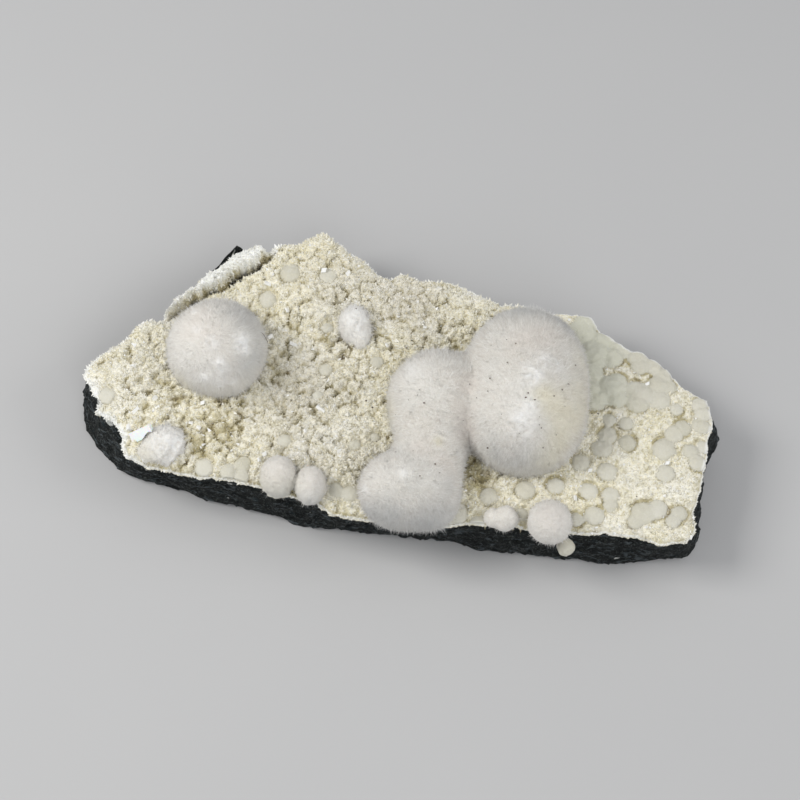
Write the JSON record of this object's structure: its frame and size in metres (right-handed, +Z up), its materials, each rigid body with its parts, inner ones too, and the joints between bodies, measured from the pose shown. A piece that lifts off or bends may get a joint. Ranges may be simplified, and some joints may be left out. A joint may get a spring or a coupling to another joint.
{
  "type": "okenite puffball mineral specimen",
  "caption": "Display specimen of woolly white okenite balls on a cream crystal crust with round gyrolite balls, over a flat-based slab of dark basalt.",
  "frame": {"origin": "middle of the specimen's underside, on the surface that it rests on", "axes": "+X along the slab's length towards the field of gyrolite balls, +Y towards the thin raised lip at the back, +Z up"},
  "size_m": [0.1526, 0.0862, 0.0362],
  "materials": {
    "basalt": "rough broken rock, dark grey-green with pale flecks",
    "crust": "small sparkling cream crystals",
    "okenite": "soft matt white, like felted wool",
    "gyrolite": "waxy pale green-cream",
    "calcite": "glossy white cleavage face"
  },
  "bodies": {
    "root": {"basalt_matrix": "basalt", "drusy_crust": "crust", "okenite_cluster": "okenite", "okenite_ball_left": "okenite", "okenite_ball_corner": "okenite", "okenite_tuft_back": "okenite", "okenite_pair_front_left": "okenite", "okenite_pair_front_right": "okenite", "okenite_ball_front_right": "okenite", "gyrolite_ball_front": "gyrolite", "calcite_plate": "calcite"}
  },
  "joints": []
}
